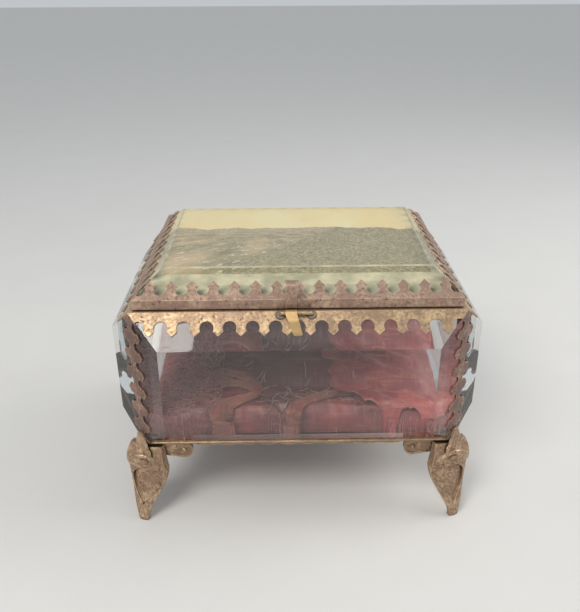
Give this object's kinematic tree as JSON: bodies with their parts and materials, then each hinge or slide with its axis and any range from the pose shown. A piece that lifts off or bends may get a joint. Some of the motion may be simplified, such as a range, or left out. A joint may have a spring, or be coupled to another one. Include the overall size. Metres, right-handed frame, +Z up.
{
  "type": "glass casket box",
  "caption": "Small keepsake casket with bevelled glass walls, crown-cut brass edging, scrolled feet, a hinged glass lid over a landscape print, a silk cushion and a front clasp.",
  "frame": {"origin": "on the floor under the middle of the box", "axes": "+X along the longer wall to the right as seen from the clasp side, +Y from the clasp side to the hinge side, +Z up out of the lid"},
  "size_m": [0.1156, 0.0936, 0.0851],
  "materials": {
    "gilt_brass": "worn gilding over brown patina",
    "cast_brass": "cast, worn gilding over brown patina",
    "bevelled_glass": "polished, faint green",
    "silk": "satin silk, shattered with age",
    "silk_card": "satin silk over card",
    "printed_paper": "printed paper",
    "soft_solder": "dull grey soft solder"
  },
  "bodies": {
    "casket_body": {"base_panel": "gilt_brass", "body_front_rail": "gilt_brass", "body_left_rail": "gilt_brass", "body_rear_rail": "gilt_brass", "body_right_rail": "gilt_brass", "bottom_front_rail": "gilt_brass", "bottom_left_rail": "gilt_brass", "bottom_rear_rail": "gilt_brass", "bottom_right_rail": "gilt_brass", "clasp_solder": "soft_solder", "clasp_staple": "gilt_brass", "front_glass": "bevelled_glass", "front_left_foot": "cast_brass", "front_left_post": "gilt_brass", "front_right_foot": "cast_brass", "front_right_post": "gilt_brass", "left_glass": "bevelled_glass", "left_hinge_body_leaf": "gilt_brass", "left_hinge_pin": "gilt_brass", "rear_glass": "bevelled_glass", "rear_left_foot": "cast_brass", "rear_left_post": "gilt_brass", "rear_right_foot": "cast_brass", "rear_right_post": "gilt_brass", "right_glass": "bevelled_glass", "right_hinge_body_leaf": "gilt_brass", "right_hinge_pin": "gilt_brass", "silk_cushion": "silk"},
    "lid": {"left_hinge_lid_leaf": "gilt_brass", "lid_backing": "silk_card", "lid_front_rail": "gilt_brass", "lid_glass": "bevelled_glass", "lid_left_rail": "gilt_brass", "lid_picture": "printed_paper", "lid_rear_rail": "gilt_brass", "lid_right_rail": "gilt_brass", "lid_tab": "gilt_brass", "right_hinge_lid_leaf": "gilt_brass"},
    "clasp_tongue": {"clasp_tongue": "gilt_brass"}
  },
  "joints": [
    {"name": "lid_hinge", "type": "hinge", "parent": "casket_body", "child": "lid", "pos_m": [0, 0.04052, 0.07588], "axis": [-1, 0, 0], "range_deg": [0, 105]},
    {"name": "clasp_tongue_hinge", "type": "hinge", "parent": "casket_body", "child": "clasp_tongue", "pos_m": [-0.0022, -0.04094, 0.07518], "axis": [-1, 0, 0], "range_deg": [0, 110]}
  ]
}
